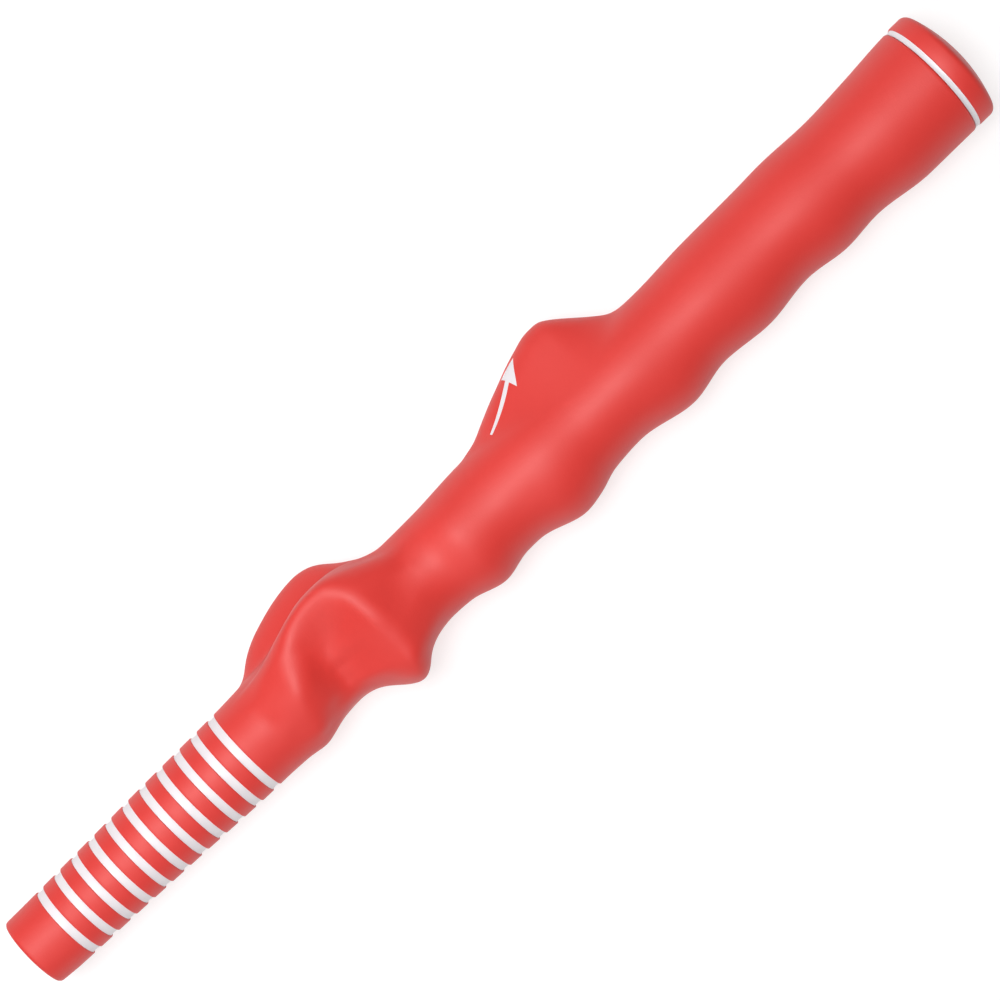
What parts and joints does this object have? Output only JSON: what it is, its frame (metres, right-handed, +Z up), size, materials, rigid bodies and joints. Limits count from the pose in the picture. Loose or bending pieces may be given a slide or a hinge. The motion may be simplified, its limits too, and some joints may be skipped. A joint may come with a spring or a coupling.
{
  "type": "golf swing training grip",
  "caption": "Slip-on golf training grip of moulded rubber: tapered, hollow, with a trigger-finger saddle, thumb rest, finger waves, butt cap and white rings.",
  "frame": {"origin": "bottom centre of the bounding box: the middle of the length and width, at the surface the grip lies on", "axes": "+X along the bore from the mouth to the butt cap, +Y towards the thumb side, +Z up towards the left-hand side; the grip lies on its right-hand side"},
  "size_m": [0.269, 0.037, 0.0292],
  "materials": {
    "red_rubber": "satin moulded",
    "red_cap_rubber": "satin moulded",
    "white_paint": "satin paint fill"
  },
  "bodies": {
    "root": {"grip_sleeve": "red_rubber", "butt_cap": "red_cap_rubber", "cap_ring": "white_paint", "arrow_mark": "white_paint", "white_ring_01": "white_paint", "white_ring_02": "white_paint", "white_ring_03": "white_paint", "white_ring_04": "white_paint", "white_ring_05": "white_paint", "white_ring_06": "white_paint", "white_ring_07": "white_paint", "white_ring_08": "white_paint", "white_ring_09": "white_paint", "white_ring_10": "white_paint", "white_ring_11": "white_paint"}
  },
  "joints": []
}
